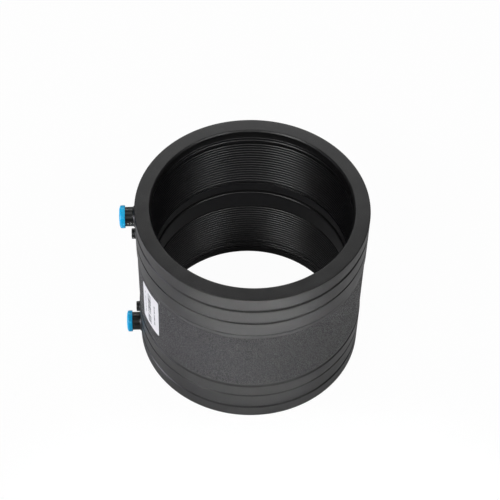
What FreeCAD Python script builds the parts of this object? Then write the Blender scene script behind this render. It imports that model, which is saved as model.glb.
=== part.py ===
import FreeCAD, Part
import os

from FreeCAD import Vector

# Electrofusion coupler for 160 mm polyethylene pipe.
# Millimetres. +Z runs along the bore, the origin is the centre of the lower mouth,
# and the terminals and fusion indicators point along -X.

# Pipe and body
pipe_diameter = 160.0
pipe_clearance = 0.6
body_wall = 12.9
body_length = 160.0
mouth_chamfer = 1.0

# Outside bands, each measured from the nearer mouth
wide_groove_from_end = 13.5
wide_groove_width = 4.0
narrow_groove_from_end = 29.8
narrow_groove_width = 2.4
groove_depth = 0.9
grip_from_lower_end = 42.2
grip_from_upper_end = 45.2
grip_depth = 0.5

# Winding sleeves, seated in the wall from behind the mouth to the groove near mid-length
sleeve_from_end = 7.5
sleeve_wall = 1.2
centre_groove_width = 3.3
centre_groove_rise = 4.4

# Terminals
terminal_from_end = 9.7
shroud_diameter = 15.5
shroud_wall = 2.0
shroud_reach = 10.3
shroud_depth = 14.8
shroud_root = 3.0
shroud_mouth_chamfer = 0.4
contact_diameter = 4.7
contact_setback = 1.1
contact_tip_chamfer = 0.5
contact_shank_diameter = 3.2

# Protective caps
cap_fit_clearance = 0.1
cap_wall = 1.3
cap_overlap = 3.0
cap_top = 1.5
cap_crown = 0.8
cap_crown_width = 2.4
cap_end_gap = 0.3

# Fusion indicators
indicator_from_end = 31.0
boss_diameter = 8.6
boss_reach = 3.1
boss_root = 2.0
boss_chamfer = 0.4
indicator_diameter = 4.0
indicator_clearance = 0.1
indicator_length = 9.0
indicator_setback = 0.3
melt_channel_diameter = 2.0

# Data label on the textured middle
label_width = 26.5
label_corner = 1.6
label_thickness = 0.2
label_azimuth = 206.3
label_edge_room = 13.6
label_rise = 2.2
label_tilt = -1.0

# Room left around every piece that is moulded into the body
moulded_gap = 0.02

# Sizes worked out from the ones above
bore_r = pipe_diameter / 2 + pipe_clearance
body_r = bore_r + body_wall
body_middle = body_length / 2
groove_r = body_r - groove_depth
grip_r = body_r - grip_depth
seat_r = bore_r + sleeve_wall
shroud_r = shroud_diameter / 2
cavity_r = shroud_r - shroud_wall
shroud_tip = body_r + shroud_reach
shroud_floor = shroud_tip - shroud_depth
contact_r = contact_diameter / 2
contact_shank_r = contact_shank_diameter / 2
contact_tip = shroud_tip - contact_setback
cap_inner_r = shroud_r + cap_fit_clearance
cap_outer_r = cap_inner_r + cap_wall
cap_ceiling = shroud_tip + cap_end_gap
cap_rim = shroud_tip - cap_overlap
boss_r = boss_diameter / 2
boss_tip = body_r + boss_reach
indicator_r = indicator_diameter / 2
indicator_tip = boss_tip - indicator_setback
indicator_foot = indicator_tip - indicator_length
melt_channel_r = melt_channel_diameter / 2
grip_length = body_length - grip_from_lower_end - grip_from_upper_end
label_height = grip_length - 2 * label_edge_room
centre_groove = body_middle + centre_groove_rise
sleeve_stops = {
    "lower": centre_groove - centre_groove_width / 2,
    "upper": centre_groove + centre_groove_width / 2,
}

os.makedirs("parts", exist_ok=True)


def from_lower_end(distance):
    return distance


def from_upper_end(distance):
    return body_length - distance


ends = {"lower": from_lower_end, "upper": from_upper_end}


def turned(outline):
    """Solid of revolution about Z of a closed outline of (radius, height) points."""
    points = [Vector(radius, 0, height) for radius, height in outline]
    face = Part.Face(Part.makePolygon(points + points[:1]))
    return face.revolve(Vector(0, 0, 0), Vector(0, 0, 1), 360)


def outward(outline, height):
    """Solid turned about the line that points along -X at this height.

    The outline's points are (radius about that line, distance from the bore's axis).
    """
    solid = turned(outline)
    solid.rotate(Vector(0, 0, 0), Vector(0, 1, 0), -90)
    solid.translate(Vector(0, 0, height))
    return solid


def outward_rod(radius, start, end, height):
    """Plain round rod along -X, from one distance to another from the bore's axis."""
    return Part.makeCylinder(radius, end - start, Vector(-start, 0, height), Vector(-1, 0, 0))


def outward_boss(radius, root, tip, chamfer, height):
    """Round boss along -X with a chamfered tip, still solid."""
    outline = [(0, root), (radius, root), (radius, tip - chamfer), (radius - chamfer, tip)]
    return outward(outline + [(0, tip)], height)


def band_groove(centre, width):
    """V-shaped groove between two bands, as (distance from the end, radius) points."""
    return [(centre - width / 2, body_r), (centre, groove_r), (centre + width / 2, body_r)]


def both_halves(lower_half, upper_half):
    """Outline as (radius, height) of two halves, each given from its own end to the middle."""
    lower = [(radius, distance) for distance, radius in lower_half]
    upper = [(radius, body_length - distance) for distance, radius in reversed(upper_half)]
    return lower + upper


def outer_outline():
    """Three bands at each end and the textured recess between them."""
    bands = [(0, body_r)]
    bands += band_groove(wide_groove_from_end, wide_groove_width)
    bands += band_groove(narrow_groove_from_end, narrow_groove_width)
    lower_half = bands + [(grip_from_lower_end, body_r), (grip_from_lower_end, grip_r)]
    upper_half = bands + [(grip_from_upper_end, body_r), (grip_from_upper_end, grip_r)]
    return both_halves(lower_half, upper_half)


def inner_outline():
    """Chamfered mouths, a plain lip at each and the seat of the winding sleeves between them."""
    half = [(0, bore_r + mouth_chamfer), (mouth_chamfer, bore_r)]
    half += [(sleeve_from_end, bore_r), (sleeve_from_end, seat_r)]
    return both_halves(half, half)


def terminal_shroud(height):
    return outward_boss(
        shroud_r, body_r - shroud_root, shroud_tip, shroud_mouth_chamfer, height
    )


def terminal_cut(height):
    """Shroud cavity, and the hole that carries the contact pin's shank to the winding."""
    cavity = outward_rod(cavity_r, shroud_floor, shroud_tip + shroud_reach, height)
    shank_hole_r = contact_shank_r + moulded_gap
    shank_hole = outward_rod(shank_hole_r, bore_r + sleeve_wall / 2, shroud_floor, height)
    return cavity.fuse(shank_hole)


def indicator_boss(height):
    return outward_boss(boss_r, groove_r - boss_root, boss_tip, boss_chamfer, height)


def indicator_cut(height):
    """Indicator's guide hole, and the channel that lets the melt push on its foot."""
    guide_r = indicator_r + indicator_clearance
    guide = outward_rod(guide_r, indicator_foot - moulded_gap, boss_tip + boss_reach, height)
    channel = outward_rod(melt_channel_r, bore_r + sleeve_wall / 2, indicator_foot, height)
    return guide.fuse(channel)


def coupler_body():
    body = turned(outer_outline() + inner_outline()[::-1])
    for place in ends.values():
        body = body.fuse(terminal_shroud(place(terminal_from_end)))
        body = body.fuse(indicator_boss(place(indicator_from_end)))
    for place in ends.values():
        body = body.cut(terminal_cut(place(terminal_from_end)))
        body = body.cut(indicator_cut(place(indicator_from_end)))
    return body.removeSplitter()


def winding_sleeve(start, stop):
    """Liner with the heating wire wound in it; the two stop short of each other at the groove."""
    outer_r = seat_r - moulded_gap
    return turned([(bore_r, start), (outer_r, start), (outer_r, stop), (bore_r, stop)])


def contact_pin(height):
    """Turned pin: contact inside the shroud, shoulder on its floor, shank to the winding."""
    shoulder = shroud_floor + moulded_gap
    outline = [
        (0, seat_r + moulded_gap),
        (contact_shank_r, seat_r + moulded_gap),
        (contact_shank_r, shoulder),
        (contact_r, shoulder),
        (contact_r, contact_tip - contact_tip_chamfer),
        (contact_r - contact_tip_chamfer, contact_tip),
        (0, contact_tip),
    ]
    return outward(outline, height)


def terminal_cap(height):
    """Push-on cap: skirt round the shroud under a crowned top."""
    top = cap_ceiling + cap_top
    outline = [
        (cap_inner_r, cap_rim),
        (cap_outer_r, cap_rim),
        (cap_outer_r, top - cap_crown),
        (cap_outer_r - cap_crown_width, top),
        (0, top),
        (0, cap_ceiling),
        (cap_inner_r, cap_ceiling),
    ]
    return outward(outline, height)


def fusion_indicator(height):
    return outward_rod(indicator_r, indicator_foot, indicator_tip, height)


def label_stamp():
    """Rounded rectangle pushed through the wall at the label's place."""
    low_corner = Vector(bore_r, -label_width / 2, -label_height / 2)
    block = Part.makeBox(body_r, label_width, label_height, low_corner)
    upright = [edge for edge in block.Edges if abs(edge.tangentAt(0).x) == 1]
    block = block.makeFillet(label_corner, upright)
    block.rotate(Vector(0, 0, 0), Vector(1, 0, 0), label_tilt)
    block.translate(Vector(0, 0, body_middle + label_rise))
    block.rotate(Vector(0, 0, 0), Vector(0, 0, 1), label_azimuth)
    return block


def data_label():
    """Curved label: the stretch of a thin ring that lies inside the rounded rectangle."""
    inner = grip_r + moulded_gap
    outer = inner + label_thickness
    ring = turned([(inner, 0), (outer, 0), (outer, body_length), (inner, body_length)])
    return ring.common(label_stamp())


def save(name, shape):
    solid = shape.Solids[0] if len(shape.Solids) == 1 else shape
    solid.exportStep("parts/" + name + ".step")


save("coupler_body", coupler_body())
save("data_label", data_label())
for end, place in ends.items():
    sleeve_start = place(sleeve_from_end + moulded_gap)
    save(end + "_winding_sleeve", winding_sleeve(sleeve_start, sleeve_stops[end]))
    save(end + "_contact_pin", contact_pin(place(terminal_from_end)))
    save(end + "_terminal_cap", terminal_cap(place(terminal_from_end)))
    save(end + "_fusion_indicator", fusion_indicator(place(indicator_from_end)))
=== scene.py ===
import math

import bpy
import numpy as np
from mathutils import Matrix, Vector


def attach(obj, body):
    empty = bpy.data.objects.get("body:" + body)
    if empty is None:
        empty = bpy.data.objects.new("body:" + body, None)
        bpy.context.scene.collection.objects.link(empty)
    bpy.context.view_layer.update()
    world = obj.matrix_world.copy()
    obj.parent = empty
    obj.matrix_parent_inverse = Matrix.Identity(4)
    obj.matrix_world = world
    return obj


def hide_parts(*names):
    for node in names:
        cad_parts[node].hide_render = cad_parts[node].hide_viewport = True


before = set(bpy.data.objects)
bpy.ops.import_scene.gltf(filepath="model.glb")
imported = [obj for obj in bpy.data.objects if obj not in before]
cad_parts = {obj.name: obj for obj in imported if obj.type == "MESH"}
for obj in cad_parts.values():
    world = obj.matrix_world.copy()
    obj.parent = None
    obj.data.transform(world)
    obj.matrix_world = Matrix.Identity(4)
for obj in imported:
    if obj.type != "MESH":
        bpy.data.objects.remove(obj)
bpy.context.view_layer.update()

# Electrofusion coupler: its pieces in more detail than in CAD, their materials, and the
# stage, light and camera of the photograph. +Z runs along the bore from the lower mouth,
# and the terminals and indicators point along -X.
ENDS = ("lower", "upper")

# Sizes in millimetres, the same as in the part's source. Radii of the body are about Z; along
# the terminals and indicators, tips and floors are distances from the bore's axis.
LENGTH = 160.0
BORE_R = 80.6
BODY_R = 93.5
GROOVE_R = 92.6
GRIP_R = 93.0
SEAT_R = 81.8
WIDE_GROOVE = (11.5, 15.5)
NARROW_GROOVE = (28.6, 31.0)
GRIP_FROM_LOWER_END = 42.2
GRIP_FROM_UPPER_END = 45.2
SLEEVE_FROM_END = 7.52
CENTRE_GROOVE = (82.75, 86.05)
TERMINAL_FROM_END = 9.7
SHROUD_R = 7.75
CAVITY_R = 5.75
SHROUD_TIP = 103.8
SHROUD_FLOOR = 89.0
CONTACT_R = 2.35
SHANK_R = 1.6
CONTACT_TIP = 102.7
CAP_INNER_R = 7.85
CAP_OUTER_R = 9.15
CAP_RIM = 100.8
CAP_CEILING = 104.1
CAP_TOP = 105.6
INDICATOR_FROM_END = 31.0
BOSS_R = 4.3
BOSS_TIP = 96.6
GUIDE_R = 2.1
INDICATOR_R = 2.0
INDICATOR_TIP = 96.3
INDICATOR_FOOT = 87.3
LABEL_SIZE = (26.5, 45.4)
LABEL_CORNER = 1.6
LABEL_THICKNESS = 0.2
LABEL_AZIMUTH = 206.3
LABEL_MIDDLE = 82.2
LABEL_TILT = -1.0
MOULDED_GAP = 0.02

# Details of the wall that only this script has: rounding of the outer rims, slope and
# rounding of the mouths, and rows (distance, radius, rounding) from each edge of the recess.
LOWER_RIM_ROUNDING = 0.6
UPPER_RIM_ROUNDING = 0.8
MOUTH_SLOPE = 1.3
MOUTH_ROUNDING = 1.0
EDGE_GROOVE_R = 92.4
LOWER_RECESS_EDGE = (
    (0.0, BODY_R, 0.2), (1.1, EDGE_GROOVE_R, 0.2), (1.5, EDGE_GROOVE_R, 0.1), (2.0, GRIP_R, 0.2),
)
UPPER_RECESS_EDGE = (
    (0.0, BODY_R, 0.2), (0.0, EDGE_GROOVE_R, 0.1), (0.6, EDGE_GROOVE_R, 0.2), (1.4, GRIP_R, 0.2),
)

# The pebbling sets in between these distances from the recess's lower and upper edges, and
# the body changes between these radii: past the bore into painted shade, at the outside, and
# beyond the bands on the terminals into painted shade with a painted reflection of the blue caps.
PEBBLES_FROM_LOWER_EDGE = (3.4, 4.6)
PEBBLES_FROM_UPPER_EDGE = (4.8, 6.0)
BORE_SHADE_END = (BORE_R + 1.1, BORE_R + 1.6)
OUTER_SKIN_START = (GRIP_R - 2.0, GRIP_R - 1.0)
TERMINAL_SHADE_START = (BODY_R + 0.4, BODY_R + 1.2)

# Winding, measured from the nearer mouth. The wire is seen on a crest of its own radius and
# its flat back lies under the floor of the channel in the sleeve.
LEAD_TURNS = (9.7, 12.7)
FIRST_TURN = 15.6
TURN_PITCH = 3.0
TURN_COUNT = 16
WIRE_HALF_WIDTH = 1.46
WIRE_CREST_R = 1.7
CHANNEL = (8.1, 65.2)
CHANNEL_DEPTH = 0.98
TURN_STEPS = 160
END_DIVE = 1.1
# Radii past the bore over which the painted shade between the turns sets in.
GAP_SHADE_START = (BORE_R + 0.05, BORE_R + 0.35)

# Points round the bore's axis, round shrouds and caps, round bosses and pins, and round
# indicators and holes; points of the label along a corner, down a side and across.
ROUND = 384
SMALL_ROUND = 96
PIN_ROUND = 64
ROD_ROUND = 48
LABEL_CORNER_POINTS = 9
LABEL_SIDE_POINTS = 40
LABEL_ACROSS_POINTS = 49

NEARLY_STRAIGHT = 0.99999
SAME_POINT = 1e-4
MM = 0.001

# Brightness of the white backdrop for the camera, and for the light that falls on the part.
WHITE_TO_CAMERA = 0.97
WHITE_TO_LIGHT = 0.02


def from_end(end, distance):
    """Height above the lower mouth of a distance from the named end."""
    return distance if end == "lower" else LENGTH - distance


def smooth_step(low, high, value):
    """0 below low, 1 above high, and 3t^2 - 2t^3 between them."""
    t = np.clip((value - low) / (high - low), 0.0, 1.0)
    return t * t * (3.0 - 2.0 * t)


def rounded(corners, closed=True, steps=5):
    """Outline whose corners are arcs, each of its own radius.

    Rows of corners are (a, b, radius). With unit vectors u and v from a corner to its
    neighbours and q the angle between them, the arc's centre lies radius / sin(q / 2)
    along the bisector, and the arc turns from one tangent point to the other by the
    spherical mean of the two spokes.
    """
    corners = np.asarray(corners, float)
    points, radius = corners[:, :2], corners[:, 2:3]
    if closed:
        before, here, after = np.roll(points, 1, 0), points, np.roll(points, -1, 0)
    else:
        before, here, after = points[:-2], points[1:-1], points[2:]
        radius = radius[1:-1]
    u = before - here
    v = after - here
    u /= np.linalg.norm(u, axis=1, keepdims=True)
    v /= np.linalg.norm(v, axis=1, keepdims=True)
    cosine = np.clip((u * v).sum(1, keepdims=True), -NEARLY_STRAIGHT, NEARLY_STRAIGHT)
    half = np.arccos(cosine) / 2
    centre = here + (u + v) / (2 * np.cos(half)) * radius / np.sin(half)
    reach = radius / np.tan(half)
    spoke_in = here + u * reach - centre
    spoke_out = here + v * reach - centre
    sweep = (math.pi - 2 * half)[:, None, :]
    share = np.linspace(0.0, 1.0, steps + 1)[None, :, None]
    arcs = centre[:, None] + (
        np.sin((1 - share) * sweep) * spoke_in[:, None]
        + np.sin(share * sweep) * spoke_out[:, None]
    ) / np.sin(sweep)
    outline = arcs.reshape(-1, 2)
    if not closed:
        outline = np.concatenate([points[:1], outline, points[-1:]])
    far = np.linalg.norm(np.diff(outline, axis=0), axis=1) > SAME_POINT
    return outline[np.concatenate([[True], far])]


def divided(outline, spacing, closed=True):
    """The outline with a point added at every spacing that no point of its own is near.

    Near is within a third of the spacing.
    """
    if closed:
        outline = np.concatenate([outline, outline[:1]])
    run = np.linalg.norm(np.diff(outline, axis=0), axis=1)
    place = np.concatenate([[0.0], np.cumsum(run)])
    extra = np.arange(0.0, place[-1], spacing)
    gap = np.abs(extra[:, None] - place[None, :]).min(axis=1)
    every = np.sort(np.concatenate([place, extra[gap > spacing / 3]]))
    if closed:
        every = every[:-1]
    return np.stack([np.interp(every, place, outline[:, k]) for k in (0, 1)], axis=1)


def round_z(outline, columns=ROUND):
    """Outline of (radius, height) carried round Z: x = r cos t, y = r sin t, z = height."""
    turn = np.arange(columns) * 2 * math.pi / columns
    radius, height = outline[:, :1], outline[:, 1:]
    flat = np.zeros_like(turn)[None]
    return np.stack([radius * np.cos(turn), radius * np.sin(turn), height + flat], axis=-1)


def round_outward(outline, height, columns=SMALL_ROUND, flare=None):
    """Outline of (radius, reach) carried round the line along -X at this height.

    y = r cos t, z = height + r sin t and x = -reach. A flare (hollow, low, high) bends the
    root to the body's round wall: where r > hollow, x moves in by
    (1 - S(low, high, reach)) (R - sqrt(R^2 - y^2)), with S the smooth step.
    """
    turn = np.arange(columns) * 2 * math.pi / columns
    radius, reach = outline[:, :1], outline[:, 1:]
    across = radius * np.cos(turn)
    if flare is None:
        follow = np.zeros_like(reach)
    else:
        hollow, low, high = flare
        follow = (radius > hollow) * (1.0 - smooth_step(low, high, reach))
    fall = BODY_R - np.sqrt(BODY_R ** 2 - across ** 2)
    along = -(reach - follow * fall)
    return np.stack([along, across, height + radius * np.sin(turn)], axis=-1)


def fan(ring, pole):
    """Triangles from a closed ring of vertex numbers to one pole vertex."""
    return np.stack([ring[:-1], ring[1:], np.full(len(ring) - 1, pole)], axis=-1)


def grid_mesh(name, grid, wrap_rows=False, wrap_columns=True, poles=(), uv=None):
    """Object of a grid of points (rows, columns, 3) in millimetres, faces pointing out.

    Quads join each point to the next row and column, the grid may close on itself in
    either direction, and a pole closes the first or last row with a fan of triangles.
    The sign of the sum of a.(b x c) over the faces tells which way they must wind.
    """
    rows, columns = grid.shape[:2]
    number = np.arange(rows * columns).reshape(rows, columns)
    points = grid.reshape(-1, 3)
    if wrap_columns:
        number = np.concatenate([number, number[:, :1]], axis=1)
    if wrap_rows:
        number = np.concatenate([number, number[:1]], axis=0)
    quads = np.stack(
        [number[:-1, :-1], number[:-1, 1:], number[1:, 1:], number[1:, :-1]], axis=-1
    ).reshape(-1, 4)
    fans = []
    for row, pole in poles:
        ring = number[row] if row else number[row][::-1]
        fans.append(fan(ring, len(points)))
        points = np.concatenate([points, np.asarray([pole], float)])
    triangles = np.concatenate(fans) if fans else np.zeros((0, 3), int)
    a, b, c, d = (points[quads[:, k]] for k in range(4))
    volume = (a * np.cross(b, c)).sum() + (a * np.cross(c, d)).sum()
    if len(triangles):
        a, b, c = (points[triangles[:, k]] for k in range(3))
        volume += (a * np.cross(b, c)).sum()
    if volume < 0:
        quads, triangles = quads[:, ::-1], triangles[:, ::-1]
    loops = np.concatenate([quads.ravel(), triangles.ravel()]).astype(np.int32)
    sizes = np.concatenate([np.full(len(quads), 4), np.full(len(triangles), 3)])
    starts = np.concatenate([[0], np.cumsum(sizes)[:-1]]).astype(np.int32)
    mesh = bpy.data.meshes.new(name)
    mesh.vertices.add(len(points))
    mesh.vertices.foreach_set("co", (points * MM).astype(np.float32).ravel())
    mesh.loops.add(len(loops))
    mesh.loops.foreach_set("vertex_index", loops)
    mesh.polygons.add(len(sizes))
    mesh.polygons.foreach_set("loop_start", starts)
    mesh.polygons.foreach_set("use_smooth", np.ones(len(sizes), bool))
    mesh.update(calc_edges=True)
    if uv is not None:
        layer = mesh.uv_layers.new(name="place")
        layer.data.foreach_set("uv", uv.reshape(-1, 2)[loops].astype(np.float32).ravel())
    mesh.validate()
    piece = bpy.data.objects.new(name, mesh)
    bpy.context.scene.collection.objects.link(piece)
    return piece


def even_shading(piece):
    """Normals weighted by face area, so that flats stay flat beside small rounded edges."""
    weighted = piece.modifiers.new("even_shading", "WEIGHTED_NORMAL")
    weighted.mode = "FACE_AREA"
    weighted.weight = 60
    weighted.keep_sharp = True
    return piece


def turned_outward(name, corners, height, spacing, columns=SMALL_ROUND, flare=None):
    """Piece turned about -X from open corners, its two ends closed by fans on the axis."""
    outline = divided(rounded(corners, closed=False), spacing, closed=False)
    grid = round_outward(outline, height, columns, flare)[1:-1]
    foot, tip = corners[0][1], corners[-1][1]
    poles = [(0, (-foot, 0.0, height)), (len(grid) - 1, (-tip, 0.0, height))]
    return even_shading(grid_mesh(name, grid, poles=poles))


def both_halves(lower_half, upper_half):
    """Outline rows (radius, height, rounding) of two halves.

    Each half has rows (distance from its own end, radius, rounding), from end to middle.
    """
    lower = [(radius, distance, edge) for distance, radius, edge in lower_half]
    upper = [(radius, LENGTH - distance, edge) for distance, radius, edge in reversed(upper_half)]
    return lower + upper


def band_groove(span, soft):
    """Groove between two bands: steep sides, each a quarter of its width, and a flat floor."""
    side = (span[1] - span[0]) / 4
    return [
        (span[0], BODY_R, soft), (span[0] + side, GROOVE_R, soft),
        (span[1] - side, GROOVE_R, soft), (span[1], BODY_R, soft),
    ]


def outer_half(rim_rounding, recess_from_end, recess_edge):
    """Rows of one half of the outside: its rim, two grooves and the edge of the recess."""
    rows = [(0.0, BODY_R, rim_rounding)]
    rows += band_groove(WIDE_GROOVE, 0.3) + band_groove(NARROW_GROOVE, 0.2)
    return rows + [(recess_from_end + step, radius, soft) for step, radius, soft in recess_edge]


def inner_half():
    """Rows of one half of the inside: its mouth, the lip and the seat of the sleeve."""
    seat_start = SLEEVE_FROM_END - MOULDED_GAP
    return [
        (0.0, BORE_R + MOUTH_SLOPE, MOUTH_ROUNDING), (MOUTH_SLOPE, BORE_R, MOUTH_ROUNDING),
        (seat_start, BORE_R, 0.0), (seat_start, SEAT_R, 0.0),
    ]


def coupler_wall():
    """Body wall: one closed outline of bands, grooves, recess, mouths and seat, carried round Z.

    The four holes that take the terminals and indicators are cut from it as plain rods, a
    little wider and deeper than the cavities of those pieces.
    """
    lower_half = outer_half(LOWER_RIM_ROUNDING, GRIP_FROM_LOWER_END, LOWER_RECESS_EDGE)
    upper_half = outer_half(UPPER_RIM_ROUNDING, GRIP_FROM_UPPER_END, UPPER_RECESS_EDGE)
    inner = inner_half()
    outline = both_halves(lower_half, upper_half) + both_halves(inner, inner)[::-1]
    outline = divided(rounded(outline, steps=4), 4.0)
    wall = grid_mesh("coupler_wall", round_z(outline), wrap_rows=True)
    beyond = BODY_R + 5.0
    cuts = (
        (TERMINAL_FROM_END, CAVITY_R + 1.0, SHROUD_FLOOR - 1.5),
        (INDICATOR_FROM_END, GUIDE_R + 1.0, INDICATOR_FOOT - 1.2),
    )
    rods = []
    for end in ENDS:
        for distance, radius, floor in cuts:
            height = from_end(end, distance)
            sides = np.array([[radius, floor], [radius, beyond]])
            poles = [(0, (-floor, 0.0, height)), (1, (-beyond, 0.0, height))]
            rod = round_outward(sides, height, ROD_ROUND)
            rods.append(grid_mesh("hole", rod, poles=poles))
    cut_holes(wall, rods)
    return even_shading(wall)


def cut_holes(wall, rods):
    """Takes each rod out of the wall with an exact Boolean, applied, and removes the rods."""
    for rod in rods:
        cut = wall.modifiers.new("hole", "BOOLEAN")
        cut.operation = "DIFFERENCE"
        cut.solver = "EXACT"
        cut.object = rod
    solved = wall.evaluated_get(bpy.context.evaluated_depsgraph_get())
    mesh = bpy.data.meshes.new_from_object(solved)
    wall.modifiers.clear()
    old, wall.data = wall.data, mesh
    bpy.data.meshes.remove(old)
    mesh.name = wall.name
    for rod in rods:
        bpy.data.meshes.remove(rod.data)


def terminal_shroud(end):
    """Terminal shroud: a flared cup, turned about -X, whose flare follows the round wall.

    The outline runs from the cup's buried underside, out under the wall, up the flare and
    the outside, over the rounded tip and down the cavity to its floor.
    """
    buried, under_wall = SHROUD_FLOOR - 1.2, BODY_R - 1.4
    stem_r = SHROUD_R - 1.2
    corners = [
        (0.0, buried, 0.0), (stem_r, buried, 0.3), (stem_r, under_wall, 0.2),
        (SHROUD_R + 1.5, under_wall, 0.1), (SHROUD_R + 1.35, BODY_R - 0.1, 0.4),
        (SHROUD_R, BODY_R + 1.2, 1.2), (SHROUD_R - 0.06, SHROUD_TIP, 0.5),
        (CAVITY_R, SHROUD_TIP, 0.4), (CAVITY_R - 0.05, SHROUD_FLOOR, 0.6),
        (0.0, SHROUD_FLOOR, 0.0),
    ]
    flare = (CAVITY_R + 0.4, BODY_R + 0.8, BODY_R + 3.5)
    height = from_end(end, TERMINAL_FROM_END)
    return turned_outward(end + "_shroud", corners, height, 1.6, flare=flare)


def indicator_boss(end):
    """Indicator boss: a smaller flared cup of the same form, open for the indicator."""
    buried, under_wall = INDICATOR_FOOT - 0.9, BODY_R - 1.6
    stem_r = BOSS_R - 0.9
    floor = INDICATOR_FOOT - 0.05
    corners = [
        (0.0, buried, 0.0), (stem_r, buried, 0.2), (stem_r, under_wall, 0.1),
        (BOSS_R + 0.9, under_wall, 0.1), (BOSS_R + 0.75, BODY_R - 0.4, 0.3),
        (BOSS_R, BODY_R + 0.5, 0.6), (BOSS_R - 0.04, BOSS_TIP, 0.55),
        (GUIDE_R, BOSS_TIP, 0.25), (GUIDE_R, floor, 0.1), (0.0, floor, 0.0),
    ]
    flare = (GUIDE_R + 0.4, BODY_R + 0.3, BODY_R + 1.4)
    height = from_end(end, INDICATOR_FROM_END)
    return turned_outward(end + "_indicator_boss", corners, height, 1.0, PIN_ROUND, flare)


def sleeve(end):
    """Winding sleeve: plain lands and the channel that the wire lies in, carried round Z."""
    stop = CENTRE_GROOVE[0] if end == "lower" else LENGTH - CENTRE_GROOVE[1]
    back, floor = SEAT_R - MOULDED_GAP, BORE_R + CHANNEL_DEPTH
    corners = [
        (back, SLEEVE_FROM_END, 0.0), (BORE_R, SLEEVE_FROM_END, 0.05),
        (BORE_R, CHANNEL[0], 0.1), (floor, CHANNEL[0], 0.1),
        (floor, CHANNEL[1], 0.1), (BORE_R, CHANNEL[1], 0.2),
        (BORE_R, stop, 1.0), (back, stop, 0.0),
    ]
    outline = divided(rounded(corners), 3.0)
    outline[:, 1] = from_end(end, outline[:, 1])
    return grid_mesh(end + "_sleeve", round_z(outline), wrap_rows=True)


def wound_wire(end):
    """Coated wire of one zone: two lead turns by the mouth, a step past each, then the coil.

    After u turns from the terminal the wire lies at the distance
    lead_1 + (lead_2 - lead_1) S(0.8, 1, u) + (first - lead_2) S(1.8, 2, u) + pitch max(u - 2, 0)
    from the mouth, with S the smooth step, and at the azimuth 180 degrees + 360 u or - 360 u.
    Its section, s across, has the arc R - sqrt(R^2 - s^2) for a crest and a flat back. Both ends
    dive under the channel's floor.
    """
    lead_1, lead_2 = LEAD_TURNS
    total = len(LEAD_TURNS) + TURN_COUNT
    turns = np.linspace(0.0, total, total * TURN_STEPS + 1)[:, None]
    distance = lead_1 + (lead_2 - lead_1) * smooth_step(0.8, 1.0, turns)
    distance = distance + (FIRST_TURN - lead_2) * smooth_step(1.8, 2.0, turns)
    distance = distance + TURN_PITCH * np.clip(turns - 2.0, 0.0, None)
    near_end = np.minimum(turns, total - turns)
    dive = END_DIVE * (1.0 - smooth_step(0.0, 0.03, near_end))
    across = np.linspace(-WIRE_HALF_WIDTH, WIRE_HALF_WIDTH, 13)
    crest = WIRE_CREST_R - np.sqrt(WIRE_CREST_R ** 2 - across ** 2)
    across = np.concatenate([across, [WIRE_HALF_WIDTH - 0.05, 0.05 - WIRE_HALF_WIDTH]])[None]
    depth = np.concatenate([crest, [CHANNEL_DEPTH + 0.06] * 2])[None]
    handed = 1.0 if end == "upper" else -1.0
    azimuth = math.pi + handed * 2 * math.pi * turns
    radius = np.minimum(BORE_R + depth + dive, SEAT_R - 0.05)
    height = from_end(end, distance + across)
    grid = np.stack([radius * np.cos(azimuth), radius * np.sin(azimuth), height], axis=-1)
    return grid_mesh(end + "_wire", grid)


def cap(end):
    """Terminal cap: skirt, rounded shoulder and crowned face turned about -X, hollow behind."""
    crown = CAP_TOP - 0.02
    dimple = crown - 0.18
    side_r = CAP_OUTER_R - 0.1
    corners = [
        (0.0, CAP_CEILING, 0.0), (CAP_INNER_R, CAP_CEILING, 0.35), (CAP_INNER_R, CAP_RIM, 0.15),
        (side_r, CAP_RIM, 0.3), (CAP_OUTER_R, CAP_RIM + 2.2, 4.0), (side_r, CAP_TOP - 1.15, 0.9),
        (CAP_OUTER_R - 2.3, CAP_TOP - 0.3, 3.0), (3.2, crown, 20.0), (1.3, crown, 0.15),
        (1.0, dimple, 0.1), (0.0, dimple, 0.0),
    ]
    return turned_outward(end + "_cap", corners, from_end(end, TERMINAL_FROM_END), 1.2)


def contact(end):
    """Contact pin turned about -X: shank, shoulder, bright pin with a rounded nose."""
    foot, shoulder = SEAT_R + MOULDED_GAP, SHROUD_FLOOR + MOULDED_GAP
    corners = [
        (0.0, foot, 0.0), (SHANK_R, foot, 0.1), (SHANK_R, shoulder, 0.1),
        (CONTACT_R, shoulder, 0.15), (CONTACT_R, CONTACT_TIP - 0.7, 0.5),
        (CONTACT_R - 0.75, CONTACT_TIP, 0.5), (0.0, CONTACT_TIP, 0.0),
    ]
    height = from_end(end, TERMINAL_FROM_END)
    return turned_outward(end + "_contact", corners, height, 1.2, PIN_ROUND)


def indicator(end):
    """Fusion indicator: plain round pin about -X with a rounded nose and a centre dimple."""
    dimple = INDICATOR_TIP - 0.25
    corners = [
        (0.0, INDICATOR_FOOT, 0.0), (INDICATOR_R, INDICATOR_FOOT, 0.15),
        (INDICATOR_R, INDICATOR_TIP, 0.45), (0.8, INDICATOR_TIP, 0.2),
        (0.6, dimple, 0.1), (0.0, dimple, 0.0),
    ]
    height = from_end(end, INDICATOR_FROM_END)
    return turned_outward(end + "_indicator", corners, height, 0.8, ROD_ROUND)


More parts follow.
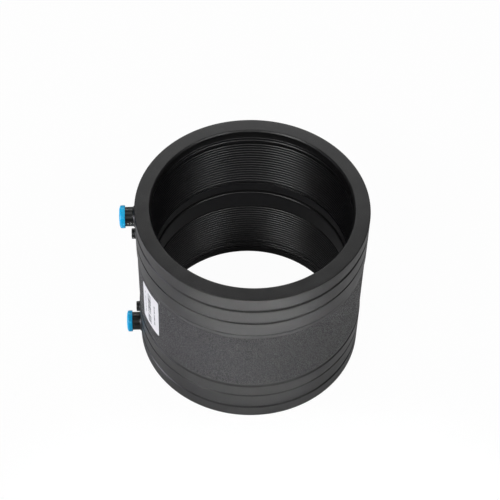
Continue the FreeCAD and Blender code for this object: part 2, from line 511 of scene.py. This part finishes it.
def label_sheet():
    """Label: a rounded rectangle bent round the recess, given thickness by Solidify.

    Its half width is W / 2, and less by c - sqrt(c^2 - e^2) at the distance e past the
    start of a corner of radius c. After the tilt, a point s across lies at the azimuth of
    the label plus asin(s / R).
    """
    width, tall = LABEL_SIZE
    corner = np.sin(np.linspace(0, math.pi / 2, LABEL_CORNER_POINTS)) * LABEL_CORNER
    end_rows = tall / 2 - LABEL_CORNER + corner
    side_rows = np.linspace(-end_rows[0], end_rows[0], LABEL_SIDE_POINTS)[1:-1]
    rows = np.concatenate([-end_rows[::-1], side_rows, end_rows])
    past = np.clip(np.abs(rows) - (tall / 2 - LABEL_CORNER), 0, LABEL_CORNER)
    half = width / 2 - (LABEL_CORNER - np.sqrt(np.clip(LABEL_CORNER ** 2 - past ** 2, 0, None)))
    across = half[:, None] * np.linspace(-1, 1, LABEL_ACROSS_POINTS)[None, :]
    along = rows[:, None] + np.zeros_like(across)
    tilt = math.radians(LABEL_TILT)
    side = across * math.cos(tilt) - along * math.sin(tilt)
    rise = across * math.sin(tilt) + along * math.cos(tilt)
    radius = GRIP_R + MOULDED_GAP + LABEL_THICKNESS
    turn = math.radians(LABEL_AZIMUTH) + np.arcsin(side / radius)
    grid = np.stack([radius * np.cos(turn), radius * np.sin(turn), LABEL_MIDDLE + rise], axis=-1)
    uv = np.stack([across / width + 0.5, along / tall + 0.5], axis=-1)
    sheet = grid_mesh("label", grid, wrap_columns=False, uv=uv)
    solid = sheet.modifiers.new("film", "SOLIDIFY")
    solid.thickness = LABEL_THICKNESS * MM
    solid.offset = -1.0
    return sheet


def feed(tree, node, inputs):
    """Sockets of the node, each set to a value or linked to another socket."""
    for key, value in inputs.items():
        if isinstance(value, bpy.types.NodeSocket):
            tree.links.new(value, node.inputs[key])
        else:
            node.inputs[key].default_value = value


def add(tree, kind, inputs=None, **settings):
    """A shader node with its settings and its sockets fed."""
    node = tree.nodes.new(kind)
    for key, value in settings.items():
        setattr(node, key, value)
    feed(tree, node, inputs or {})
    return node


def calc(tree, operation, *values, clamp=False):
    """Result of a Math node on values or sockets."""
    node = add(tree, "ShaderNodeMath", dict(enumerate(values)), operation=operation)
    node.use_clamp = clamp
    return node.outputs[0]


def product(tree, first, *others):
    """Product of values or sockets."""
    for other in others:
        first = calc(tree, "MULTIPLY", first, other)
    return first


def between(tree, value, low, high):
    """1 where the value lies between low and high, else 0."""
    above = calc(tree, "GREATER_THAN", value, low)
    return product(tree, above, calc(tree, "LESS_THAN", value, high))


def noise(tree, place, scale, detail, **inputs):
    """Value of a Noise Texture."""
    inputs = {"Vector": place, "Scale": scale, "Detail": detail, **inputs}
    return add(tree, "ShaderNodeTexNoise", inputs).outputs[0]


def ramp(tree, value, low, high, to_low=0.0, to_high=1.0, kind="SMOOTHSTEP"):
    """Value mapped from one range to another, smoothly and held at both ends."""
    inputs = {"Value": value, "From Min": low, "From Max": high}
    inputs.update({"To Min": to_low, "To Max": to_high})
    node = add(tree, "ShaderNodeMapRange", inputs, interpolation_type=kind)
    node.clamp = True
    return node.outputs["Result"]


def blend(tree, share, first, second):
    """Colour between two colours."""
    node = add(tree, "ShaderNodeMix", {0: share, 6: first, 7: second}, data_type="RGBA")
    return node.outputs[2]


def new_group(name, vectors, numbers, results):
    """Empty shader node group; returns its tree, its input sockets and its output node.

    The inputs are vectors and then numbers, the results are numbers.
    """
    tree = bpy.data.node_groups.new(name, "ShaderNodeTree")
    sockets = [(label, "INPUT", "NodeSocketVector") for label in vectors]
    sockets += [(label, "INPUT", "NodeSocketFloat") for label in numbers]
    sockets += [(label, "OUTPUT", "NodeSocketFloat") for label in results]
    for label, way, kind in sockets:
        tree.interface.new_socket(name=label, in_out=way, socket_type=kind)
    given = tree.nodes.new("NodeGroupInput").outputs
    given = given[:len(vectors) + len(numbers)]
    return tree, given, tree.nodes.new("NodeGroupOutput")


def moulded_grain_group():
    """Fine satin grain of a moulding: two sizes of noise, as a height and a slow mottle."""
    tree, (place, size), out = new_group(
        "moulded_grain", ["Place"], ["Size"], ["Height", "Mottle"]
    )
    fine = calc(tree, "DIVIDE", 1.0, size)
    grain = noise(tree, place, fine, 3.0, Roughness=0.6)
    mottle = noise(tree, place, product(tree, fine, 0.045), 4.0, Roughness=0.6)
    feed(tree, out, {"Height": grain, "Mottle": ramp(tree, mottle, 0.3, 0.7)})
    return tree


def pebbled_skin_group():
    """Spark-eroded pebbling: crowned cells of uneven size with pits between them."""
    tree, (place, cell), out = new_group(
        "pebbled_skin", ["Place"], ["Cell"], ["Height", "Crown"]
    )
    scale = calc(tree, "DIVIDE", 1.0, cell)
    cells = add(
        tree, "ShaderNodeTexVoronoi",
        {"Vector": place, "Scale": scale, "Smoothness": 0.25, "Randomness": 1.0},
        feature="SMOOTH_F1",
    )
    crown = ramp(tree, cells.outputs["Distance"], 0.2, 0.62, 1.0, 0.0)
    uneven = noise(tree, place, scale, 1.0, Roughness=0.5)
    height = calc(tree, "ADD", product(tree, crown, 0.7), product(tree, uneven, 0.6))
    feed(tree, out, {"Height": height, "Crown": crown})
    return tree


def handling_scuffs_group():
    """Fine scuff lines from handling: thin level lines of a stretched noise, in patches."""
    tree, (place, scale, amount), out = new_group(
        "handling_scuffs", ["Place"], ["Scale", "Amount"], ["Scuffs"]
    )
    leaning = add(
        tree, "ShaderNodeMapping",
        {"Vector": place, "Rotation": (0.5, 0.3, 0.9), "Scale": (1.0, 1.0, 0.18)},
    )
    lines = noise(tree, leaning.outputs[0], scale, 1.5, Distortion=0.4)
    away = calc(tree, "ABSOLUTE", calc(tree, "SUBTRACT", lines, 0.5))
    thin = ramp(tree, away, 0.0, 0.006, 1.0, 0.0)
    patches = noise(tree, place, product(tree, scale, 0.35), 2.0)
    there = ramp(tree, patches, 0.52, 0.68)
    feed(tree, out, {"Scuffs": product(tree, thin, there, amount)})
    return tree


def settled_dust_group():
    """Pale dust on faces that look up: the normal's rise times a patchy, specked noise."""
    tree, (place, normal, amount), out = new_group(
        "settled_dust", ["Place", "Normal"], ["Amount"], ["Dust"]
    )
    parts = add(tree, "ShaderNodeSeparateXYZ", {0: normal})
    up = ramp(tree, parts.outputs[2], 0.35, 1.0)
    specks = ramp(tree, noise(tree, place, 1400.0, 2.0), 0.48, 0.75)
    patches = ramp(tree, noise(tree, place, 45.0, 4.0), 0.35, 0.7, 0.25, 1.0)
    film = product(tree, up, calc(tree, "ADD", specks, 0.25), patches)
    feed(tree, out, {"Dust": calc(tree, "MULTIPLY", film, amount, clamp=True)})
    return tree


def body_place_group():
    """Distance from the bore's axis and height above the lower mouth, in millimetres."""
    tree, (place,), out = new_group("body_place", ["Place"], [], ["Radius", "Height"])
    x, y, z = add(tree, "ShaderNodeSeparateXYZ", {0: place}).outputs
    square = calc(tree, "ADD", product(tree, x, x), product(tree, y, y))
    radius = product(tree, calc(tree, "SQRT", square), 1000.0)
    feed(tree, out, {"Radius": radius, "Height": product(tree, z, 1000.0)})
    return tree


GROUPS = {}


def placed(tree, maker, inputs):
    """The shared group made by this function, built once, placed in a material's tree."""
    if maker not in GROUPS:
        GROUPS[maker] = maker()
    node = tree.nodes.new("ShaderNodeGroup")
    node.node_tree = GROUPS[maker]
    feed(tree, node, inputs)
    return node.outputs


def new_material(name, **constants):
    """Material with a Principled shader; gives it, its tree, the shader and Object coordinates."""
    material = bpy.data.materials.new(name)
    material.use_nodes = True
    tree = material.node_tree
    tree.nodes.clear()
    shader = tree.nodes.new("ShaderNodeBsdfPrincipled")
    for key, value in constants.items():
        shader.inputs[key.replace("_", " ")].default_value = value
    surface = tree.nodes.new("ShaderNodeOutputMaterial")
    tree.links.new(shader.outputs[0], surface.inputs[0])
    place = tree.nodes.new("ShaderNodeTexCoord").outputs["Object"]
    return material, tree, shader, place


def bump(tree, height, distance, **inputs):
    """Normal bent by a height; the distance is in metres."""
    inputs = {"Height": height, "Distance": distance, **inputs}
    return add(tree, "ShaderNodeBump", inputs).outputs[0]


# Linear colours of materials and lights; a pair is what a mottle or the crowns of the
# pebbles blend between.
BAND_BLACKS = (0.011, 0.011, 0.0115, 1), (0.015, 0.015, 0.0155, 1)
# Pits and crowns of the pebbles; the pale crown colour is a painted highlight.
PEBBLE_BLACK_AND_CROWN_HIGHLIGHT = (0.014, 0.014, 0.0145, 1), (0.13, 0.128, 0.135, 1)
# Painted shade of the bore.
BORE_SHADE_BLACK = (0.006, 0.006, 0.0064, 1)
# Painted shade of the terminals and bosses, tinted teal by a painted reflection of the blue caps.
TERMINAL_SHADE_TEAL = (0.0012, 0.0026, 0.0028, 1)
SCUFF_GREY = (0.11, 0.11, 0.115, 1)
DUST_GREY = (0.30, 0.29, 0.28, 1)
RIB_BLACKS = (0.004, 0.0038, 0.0055, 1), (0.006, 0.0057, 0.008, 1)
# Painted shade in the gaps between the turns of the wire.
GAP_SHADE_BLACK = (0.001, 0.001, 0.001, 1)
CAP_BLUES = (0.0, 0.52, 0.98, 1), (0.0, 0.56, 1.0, 1)
SCUFF_BLUE = (0.25, 0.55, 0.9, 1)
BRASS_YELLOWS = (0.78, 0.60, 0.32, 1), (0.62, 0.45, 0.22, 1)
INDICATOR_BLACKS = (0.035, 0.035, 0.037, 1), (0.05, 0.05, 0.052, 1)
FILM_WHITES = (0.86, 0.86, 0.88, 1), (0.90, 0.90, 0.91, 1)
INK_GREY = (0.07, 0.07, 0.08, 1)
PAPER_WHITE = (0.88, 0.88, 0.88, 1)
WHITE = (1.0, 1.0, 1.0)
COOL_WHITE = (0.92, 0.9, 1.0)


def body_plastic():
    """Black polyethylene: satin on the bands and mouths, pebbled in the recess round the middle,
    with a painted highlight on the crowns of the pebbles.

    The bore is painted darker than the outside as painted shade, and the terminals and bosses
    beyond it darker still and teal, as painted shade with a painted reflection of the blue caps.
    """
    material, tree, shader, place = new_material(
        "black_polyethylene", IOR=1.51, Specular_IOR_Level=0.5
    )
    normal = add(tree, "ShaderNodeNewGeometry").outputs["Normal"]
    radius, height = placed(tree, body_place_group, {"Place": place})
    starts = [GRIP_FROM_LOWER_END + step for step in PEBBLES_FROM_LOWER_EDGE]
    stops = [LENGTH - GRIP_FROM_UPPER_END - step for step in PEBBLES_FROM_UPPER_EDGE[::-1]]
    above = ramp(tree, height, *starts)
    below = ramp(tree, height, *stops, 1.0, 0.0)
    outside = ramp(tree, radius, *OUTER_SKIN_START)
    recess = product(tree, above, below, outside)
    # Mask of the painted shade in the bore.
    bore = ramp(tree, radius, *BORE_SHADE_END, 1.0, 0.0)
    # Mask of the painted shade and painted cap reflection on the terminals and bosses.
    beyond = ramp(tree, radius, *TERMINAL_SHADE_START)
    grain, mottle = placed(tree, moulded_grain_group, {"Place": place, "Size": 0.0006})
    pebbles, crown = placed(tree, pebbled_skin_group, {"Place": place, "Cell": 0.00085})
    scuffs = placed(
        tree, handling_scuffs_group, {"Place": place, "Scale": 90.0, "Amount": 1.0}
    )[0]
    dust = placed(
        tree, settled_dust_group, {"Place": place, "Normal": normal, "Amount": 0.08}
    )[0]

    satin = blend(tree, mottle, *BAND_BLACKS)
    # Painted highlight: the crowns of the pebbles are painted pale.
    crowned = blend(tree, crown, *PEBBLE_BLACK_AND_CROWN_HIGHLIGHT)
    outer_skin = blend(tree, recess, satin, crowned)
    # Painted shade: the bore is painted darker than the outside.
    skin_and_bore_shade = blend(tree, bore, outer_skin, BORE_SHADE_BLACK)
    # Painted shade and a painted teal reflection of the blue caps on the terminals and bosses.
    plastic = blend(tree, beyond, skin_and_bore_shade, TERMINAL_SHADE_TEAL)
    scuffed = blend(tree, product(tree, scuffs, 0.12), plastic, SCUFF_GREY)
    dusty = blend(tree, dust, scuffed, DUST_GREY)

    rough = ramp(tree, mottle, 0.0, 1.0, 0.35, 0.42, "LINEAR")
    pits = product(tree, calc(tree, "SUBTRACT", 1.0, crown), 0.30)
    uneven = calc(tree, "ADD", pits, -0.06)
    rough = calc(tree, "ADD", rough, product(tree, recess, uneven))
    rough = calc(tree, "ADD", rough, product(tree, scuffs, 0.05))
    rough = calc(tree, "ADD", rough, product(tree, beyond, -0.04))

    pebbled = bump(tree, product(tree, pebbles, recess), 0.0007)
    fine = bump(tree, grain, 0.00002, Normal=pebbled)
    feed(tree, shader, {"Base Color": dusty, "Roughness": rough, "Normal": fine})
    return material


def winding_plastic():
    """Polyethylene over the wound wire: satin ribs, with painted shade, near black, in the gaps
    between the turns.
    """
    material, tree, shader, place = new_material(
        "winding_coating", IOR=1.51, Specular_IOR_Level=0.95
    )
    radius = placed(tree, body_place_group, {"Place": place})["Radius"]
    mottle = placed(tree, moulded_grain_group, {"Place": place, "Size": 0.0005})["Mottle"]
    # Painted shade: deeper than the crests, between the turns and on the channel's floor, the
    # colour turns near black.
    crest = ramp(tree, radius, *GAP_SHADE_START, 1.0, 0.0)
    ribs_and_gap_shade = blend(tree, crest, GAP_SHADE_BLACK, blend(tree, mottle, *RIB_BLACKS))
    rough = ramp(tree, mottle, 0.0, 1.0, 0.30, 0.34, "LINEAR")
    feed(tree, shader, {"Base Color": ribs_and_gap_shade, "Roughness": rough})
    return material


def cap_plastic():
    """Bright blue cap plastic: semi-gloss, faintly mottled, with a few handling scuffs."""
    material, tree, shader, place = new_material(
        "blue_cap_plastic", IOR=1.49, Specular_IOR_Level=0.5
    )
    grain, mottle = placed(tree, moulded_grain_group, {"Place": place, "Size": 0.0005})
    scuffs = placed(
        tree, handling_scuffs_group, {"Place": place, "Scale": 260.0, "Amount": 1.0}
    )[0]
    blue = blend(tree, mottle, *CAP_BLUES)
    worn = blend(tree, product(tree, scuffs, 0.25), blue, SCUFF_BLUE)
    rough = ramp(tree, mottle, 0.0, 1.0, 0.36, 0.44)
    rough = calc(tree, "ADD", rough, product(tree, scuffs, 0.1))
    fine = bump(tree, grain, 0.00001)
    feed(tree, shader, {"Base Color": worn, "Roughness": rough, "Normal": fine})
    return material


def turned_brass():
    """Turned brass: fine rings along the pin from the tool, slightly tarnished in patches."""
    material, tree, shader, place = new_material("contact_brass", Metallic=1.0)
    rings = add(
        tree, "ShaderNodeTexWave",
        {"Vector": place, "Scale": 1500.0, "Distortion": 1.5, "Detail": 2.0},
        wave_type="BANDS", bands_direction="X",
    )
    mottle = placed(tree, moulded_grain_group, {"Place": place, "Size": 0.0004})["Mottle"]
    metal = blend(tree, mottle, *BRASS_YELLOWS)
    rough = ramp(tree, mottle, 0.0, 1.0, 0.22, 0.36, "LINEAR")
    fine = bump(tree, rings.outputs["Fac"], 0.00001)
    feed(tree, shader, {"Base Color": metal, "Roughness": rough, "Normal": fine})
    return material


def indicator_plastic():
    """Indicator plastic: matt black, fine grain."""
    material, tree, shader, place = new_material("indicator_plastic", IOR=1.5)
    grain, mottle = placed(tree, moulded_grain_group, {"Place": place, "Size": 0.0004})
    black = blend(tree, mottle, *INDICATOR_BLACKS)
    rough = ramp(tree, mottle, 0.0, 1.0, 0.45, 0.6, "LINEAR")
    fine = bump(tree, grain, 0.00002)
    feed(tree, shader, {"Base Color": black, "Roughness": rough, "Normal": fine})
    return material


# Columns of plain print on the label: from and to across, from and to along, all as shares
# of its size, then rows to the height, share of rows printed and darkness of the ink.
PRINT_COLUMNS = (
    (0.36, 0.56, 0.08, 0.90, 120.0, 0.56, 0.9),
    (0.74, 0.80, 0.20, 0.76, 64.0, 0.6, 0.8),
    (0.17, 0.22, 0.22, 0.84, 80.0, 0.55, 0.7),
)


def bar_column(tree, across, along, left, right, low, high, rows, fill, darkness):
    """Ink of a column of plain bars: inside its span, on where a stepped noise is low."""
    inside = product(tree, between(tree, across, left, right), between(tree, along, low, high))
    step = calc(tree, "FLOOR", product(tree, along, rows))
    seed = calc(tree, "ADD", step, left * 100.0)
    chance = add(tree, "ShaderNodeTexWhiteNoise", {"W": seed}, noise_dimensions="1D")
    printed = calc(tree, "LESS_THAN", chance.outputs["Value"], fill)
    return product(tree, inside, printed, darkness)


def label_film():
    """White label film with plain grey bars and dashes in columns, no lettering."""
    material, tree, shader, place = new_material("label_film", IOR=1.46)
    uv = add(tree, "ShaderNodeUVMap", uv_map="place").outputs[0]
    across, along = add(tree, "ShaderNodeSeparateXYZ", {0: uv}).outputs[:2]
    bars, dashes, edge = [bar_column(tree, across, along, *column) for column in PRINT_COLUMNS]
    ink = calc(tree, "MAXIMUM", calc(tree, "MAXIMUM", bars, dashes), edge)
    grain, mottle = placed(tree, moulded_grain_group, {"Place": place, "Size": 0.0008})
    film = blend(tree, mottle, *FILM_WHITES)
    printed = blend(tree, ink, film, INK_GREY)
    rough = ramp(tree, mottle, 0.0, 1.0, 0.38, 0.5, "LINEAR")
    fine = bump(tree, grain, 0.00001)
    feed(tree, shader, {"Base Color": printed, "Roughness": rough, "Normal": fine})
    return material


def finish_piece(piece, body, node, material):
    """Rides the body, stands for the CAD node, which it hides, and takes the material."""
    piece.data.materials.clear()
    piece.data.materials.append(material)
    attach(piece, body)
    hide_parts(node)


def studio_floor():
    """Plain pale floor just under the lower mouth, nearly white to the camera."""
    side, drop = 6000.0, 0.05
    x = np.array([[-side, -side], [side, side]])
    y = np.array([[-side, side], [-side, side]])
    corners = np.stack([x, y, np.full((2, 2), -drop)], axis=-1)
    floor = grid_mesh("studio_floor", corners, wrap_columns=False)
    if floor.data.polygons[0].normal.z < 0:
        floor.data.flip_normals()
    material = bpy.data.materials.new("studio_paper")
    material.use_nodes = True
    tree = material.node_tree
    tree.nodes.clear()
    paper = add(tree, "ShaderNodeBsdfDiffuse", {"Color": PAPER_WHITE})
    glow = add(tree, "ShaderNodeEmission", {"Color": (*WHITE, 1), "Strength": 1.0})
    seen = add(tree, "ShaderNodeLightPath").outputs["Is Camera Ray"]
    share = product(tree, seen, WHITE_TO_CAMERA)
    shaders = {0: share, 1: paper.outputs[0], 2: glow.outputs[0]}
    mixed = add(tree, "ShaderNodeMixShader", shaders)
    add(tree, "ShaderNodeOutputMaterial", {0: mixed.outputs[0]})
    floor.data.materials.append(material)


# Soft lights: name, place and aim in metres, size in metres, watts, colour and the spread
# in degrees that a grid leaves of the light.
SOFT_BOXES = (
    ("floor_box", (0.0, -0.5, 1.0), (0.0, -0.235, 0.0), (0.32, 0.12), 1.25, WHITE, 11.0),
    ("low_left_box", (-1.7, -0.3, 0.11), (0.0, 0.0, 0.06), (0.6, 0.2), 14.0, COOL_WHITE, 180.0),
    ("high_left_box", (-1.08, -1.2, 1.7), (0.0, 0.0, 0.08), (0.9, 0.3), 15.0, WHITE, 180.0),
    ("high_right_box", (1.08, -1.2, 1.7), (0.0, 0.0, 0.08), (0.9, 0.3), 10.5, WHITE, 180.0),
    ("high_front_box", (0.0, -1.9, 1.5), (0.0, 0.0, 0.08), (1.2, 0.7), 3.5, WHITE, 180.0),
    ("top_box", (0.0, 0.1, 2.3), (0.0, 0.1, 0.1), (0.6, 0.4), 4.5, WHITE, 180.0),
    ("rear_box", (0.0, 1.7, 1.3), (0.0, 0.0, 0.16), (2.0, 0.5), 13.0, WHITE, 180.0),
)


def soft_box(name, place, aim, size, power, colour, spread):
    """Rectangular area light at its place, turned to its aim."""
    lamp = bpy.data.lights.new(name, "AREA")
    lamp.shape = "RECTANGLE"
    lamp.size, lamp.size_y = size
    lamp.energy = power
    lamp.color = colour
    lamp.spread = math.radians(spread)
    light = bpy.data.objects.new(name, lamp)
    light.location = place
    turn = (Vector(aim) - Vector(place)).to_track_quat("-Z", "Y")
    light.rotation_euler = turn.to_euler()
    bpy.context.scene.collection.objects.link(light)


def studio_light():
    """Plain soft studio light round a white backdrop that itself lights the part very little.

    The wall mirrors the patch of floor that floor_box lights in front of it, and the high
    boxes at the left and right put the two groups of glints on the winding. The high front
    box fills the grooves, the low box lights the label, the top box the rounded edges of the
    mouth and the rear box the end face.
    """
    world = bpy.data.worlds.new("studio_surround")
    world.use_nodes = True
    tree = world.node_tree
    seen = add(tree, "ShaderNodeLightPath").outputs["Is Camera Ray"]
    surround = tree.nodes["Background"]
    surround.inputs["Color"].default_value = (*WHITE, 1)
    strength = ramp(tree, seen, 0.0, 1.0, WHITE_TO_LIGHT, WHITE_TO_CAMERA, "LINEAR")
    tree.links.new(strength, surround.inputs["Strength"])
    bpy.context.scene.world = world
    for box in SOFT_BOXES:
        soft_box(*box)


def photo_camera():
    """Camera fitted to the photograph: place, view direction and lens for a square frame."""
    place = Vector((-54.56, -781.97, 1087.49)) * MM
    forward = Vector((0.0425729, 0.6217952, -0.7820220)).normalized()
    up = Vector((0.0243561, 0.7818531, 0.6229868))
    right = forward.cross(up).normalized()
    up = right.cross(forward)
    data = bpy.data.cameras.new("photo_camera")
    data.lens = 110.616
    data.sensor_width = 36.0
    data.clip_start = 0.05
    camera = bpy.data.objects.new("photo_camera", data)
    turn = Matrix((right, up, -forward)).transposed()
    camera.matrix_world = Matrix.Translation(place) @ turn.to_4x4()
    bpy.context.scene.collection.objects.link(camera)
    bpy.context.scene.camera = camera


photo_camera()
studio_floor()
studio_light()
bpy.context.scene.view_settings.view_transform = "Standard"

black = body_plastic()
wound = winding_plastic()
blue = cap_plastic()
brass = turned_brass()
matt_black = indicator_plastic()
film = label_film()

finish_piece(coupler_wall(), "fitting", "coupler_body", black)
finish_piece(label_sheet(), "fitting", "data_label", film)
for end in ENDS:
    finish_piece(terminal_shroud(end), "fitting", "coupler_body", black)
    finish_piece(indicator_boss(end), "fitting", "coupler_body", black)
    finish_piece(sleeve(end), "fitting", end + "_winding_sleeve", wound)
    finish_piece(wound_wire(end), "fitting", end + "_winding_sleeve", wound)
    finish_piece(contact(end), "fitting", end + "_contact_pin", brass)
    finish_piece(cap(end), end + "_cap", end + "_terminal_cap", blue)
    finish_piece(
        indicator(end), end + "_indicator", end + "_fusion_indicator",
        matt_black,
    )

# CAD nodes without a node material take the body's.
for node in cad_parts.values():
    if not node.data.materials or not node.data.materials[0].use_nodes:
        node.data.materials.clear()
        node.data.materials.append(black)

bpy.context.view_layer.update()
